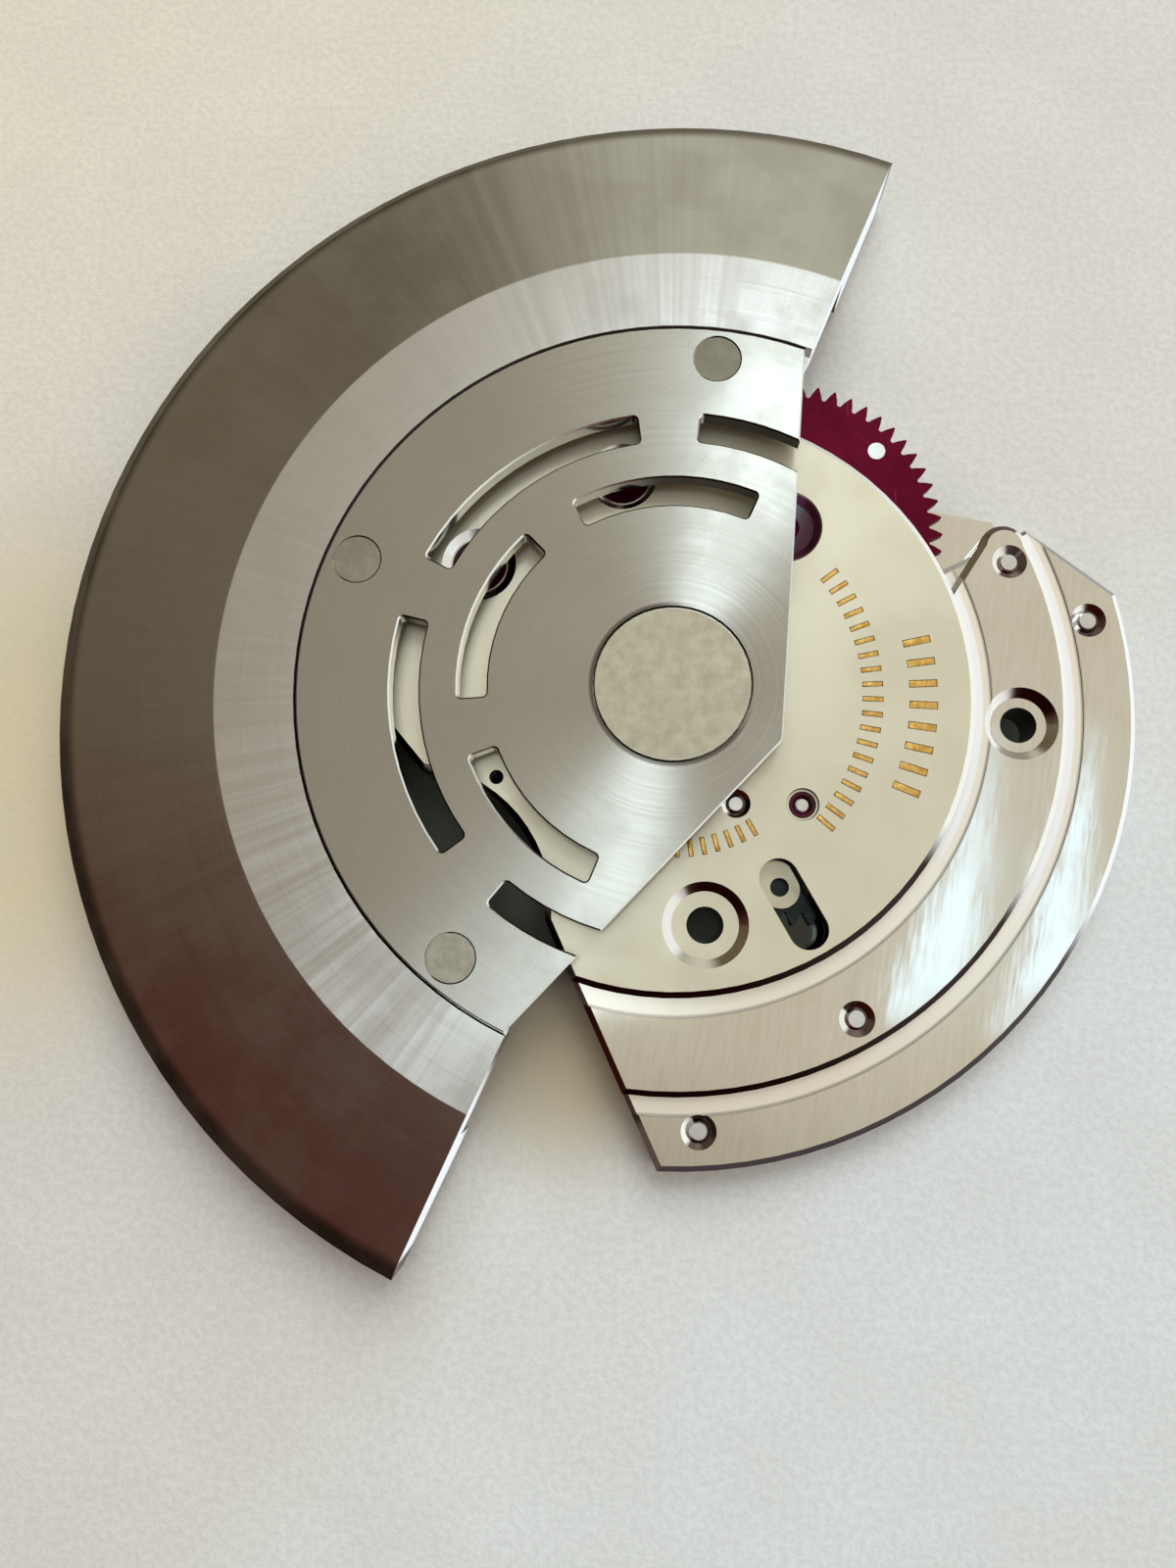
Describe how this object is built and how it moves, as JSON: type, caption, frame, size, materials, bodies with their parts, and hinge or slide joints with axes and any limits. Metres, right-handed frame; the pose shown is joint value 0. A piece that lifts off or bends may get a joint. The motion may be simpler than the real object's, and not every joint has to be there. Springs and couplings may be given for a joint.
{
  "type": "automatic winding module",
  "caption": "Oscillating weight on the bridges of a watch's automatic winding module, with red reversing wheels under it and a driving wheel as output.",
  "frame": {"origin": "rotor axis in the standing face of the module, at the lower end of the centre post", "axes": "+Z along the rotor axis, from the movement to the weight; +X to the right and +Y up as the module is seen from above with the weight to the left"},
  "size_m": [0.0243, 0.0265, 0.0026],
  "materials": {
    "weight_metal": "radially brushed heavy alloy",
    "rotor_steel": "circular satin",
    "bridge_metal": "nickel-plated brass, circular satin, polished bevels",
    "polished_steel": "hardened and polished",
    "red_anodised": "red anodised",
    "ruby": "polished synthetic ruby",
    "wheel_brass": "gilt, circular satin"
  },
  "bodies": {
    "bridges": {"upper_bridge": "bridge_metal", "lower_bridge": "bridge_metal", "upper_rotor_jewel": "ruby", "lower_rotor_jewel": "ruby", "reverser_upper_jewels": "ruby", "reverser_lower_jewels": "ruby", "intermediate_upper_jewel": "ruby", "intermediate_lower_jewel": "ruby", "driving_upper_jewel": "ruby", "driving_lower_jewel": "ruby", "centre_post": "polished_steel", "lock_guide_pin": "polished_steel", "bridge_pins": "polished_steel", "locating_bushes": "polished_steel", "bridge_screws": "polished_steel"},
    "rotor": {"rotor_weight": "weight_metal", "rotor_plate": "rotor_steel", "weight_rivets": "polished_steel", "rotor_axle": "polished_steel", "rotor_pinion": "polished_steel"},
    "intermediate": {"intermediate_pinion": "polished_steel"},
    "idler": {"centre_idler": "wheel_brass"},
    "driving": {"driving_wheel": "wheel_brass", "driving_arbor": "polished_steel", "winding_pinion": "polished_steel"},
    "lock": {"axle_lock": "polished_steel"},
    "reverser_1_input": {"reverser_1_disc": "red_anodised", "reverser_1_pawl_pins": "polished_steel"},
    "reverser_1_output": {"reverser_1_wheel": "wheel_brass", "reverser_1_arbor": "polished_steel"},
    "reverser_1_catch_a": {"reverser_1_pawl_a": "polished_steel"},
    "reverser_1_catch_b": {"reverser_1_pawl_b": "polished_steel"},
    "reverser_2_input": {"reverser_2_disc": "red_anodised", "reverser_2_pawl_pins": "polished_steel"},
    "reverser_2_output": {"reverser_2_wheel": "wheel_brass", "reverser_2_arbor": "polished_steel"},
    "reverser_2_catch_a": {"reverser_2_pawl_a": "polished_steel"},
    "reverser_2_catch_b": {"reverser_2_pawl_b": "polished_steel"}
  },
  "joints": [
    {"name": "rotor_spin", "type": "hinge", "parent": "bridges", "child": "rotor", "pos_m": [0, 0, 0], "axis": [0, 0, 1], "continuous": true},
    {"name": "reverser_1_disc_spin", "type": "hinge", "parent": "bridges", "child": "reverser_1_input", "pos_m": [0.00257, 0.00385, 0], "axis": [0, 0, 1], "continuous": true},
    {"name": "reverser_2_disc_spin", "type": "hinge", "parent": "bridges", "child": "reverser_2_input", "pos_m": [-0.00438, 0.00298, 0], "axis": [0, 0, 1], "continuous": true},
    {"name": "reverser_1_wheel_spin", "type": "hinge", "parent": "bridges", "child": "reverser_1_output", "pos_m": [0.00257, 0.00385, 0], "axis": [0, 0, 1], "continuous": true},
    {"name": "reverser_2_wheel_spin", "type": "hinge", "parent": "bridges", "child": "reverser_2_output", "pos_m": [-0.00438, 0.00298, 0], "axis": [0, 0, 1], "continuous": true},
    {"name": "intermediate_spin", "type": "hinge", "parent": "bridges", "child": "intermediate", "pos_m": [-0.00111, 0.00507, 0], "axis": [0, 0, 1], "continuous": true},
    {"name": "idler_spin", "type": "hinge", "parent": "bridges", "child": "idler", "pos_m": [0, 0, 0], "axis": [0, 0, 1], "continuous": true},
    {"name": "driving_spin", "type": "hinge", "parent": "bridges", "child": "driving", "pos_m": [0.00287, -0.00251, 0], "axis": [0, 0, 1], "continuous": true},
    {"name": "reverser_1_pawl_a_swing", "type": "hinge", "parent": "reverser_1_input", "child": "reverser_1_catch_a", "pos_m": [0.00475, 0.0058, 0], "axis": [0, 0, 1], "range_deg": [0, 10]},
    {"name": "reverser_1_pawl_b_swing", "type": "hinge", "parent": "reverser_1_input", "child": "reverser_1_catch_b", "pos_m": [0.00038, 0.0019, 0], "axis": [0, 0, 1], "range_deg": [0, 10]},
    {"name": "reverser_2_pawl_a_swing", "type": "hinge", "parent": "reverser_2_input", "child": "reverser_2_catch_a", "pos_m": [-0.00631, 0.00078, 0], "axis": [0, 0, 1], "range_deg": [0, 4]},
    {"name": "reverser_2_pawl_b_swing", "type": "hinge", "parent": "reverser_2_input", "child": "reverser_2_catch_b", "pos_m": [-0.00245, 0.00518, 0], "axis": [0, 0, 1], "range_deg": [0, 4]},
    {"name": "axle_lock_slide", "type": "slide", "parent": "bridges", "child": "lock", "axis": [0.4909, -0.8712, 0], "range_m": [0, 0.00105]}
  ],
  "couplings": [
    {"joint": "reverser_1_disc_spin", "follows": "rotor_spin", "ratio": -0.32143},
    {"joint": "reverser_2_disc_spin", "follows": "rotor_spin", "ratio": 0.32143},
    {"joint": "reverser_1_wheel_spin", "follows": "rotor_spin", "ratio": -0.32143},
    {"joint": "reverser_2_wheel_spin", "follows": "rotor_spin", "ratio": -0.32143},
    {"joint": "intermediate_spin", "follows": "rotor_spin", "ratio": 1.8929},
    {"joint": "idler_spin", "follows": "rotor_spin", "ratio": 0.81122},
    {"joint": "driving_spin", "follows": "rotor_spin", "ratio": -0.42589}
  ]
}
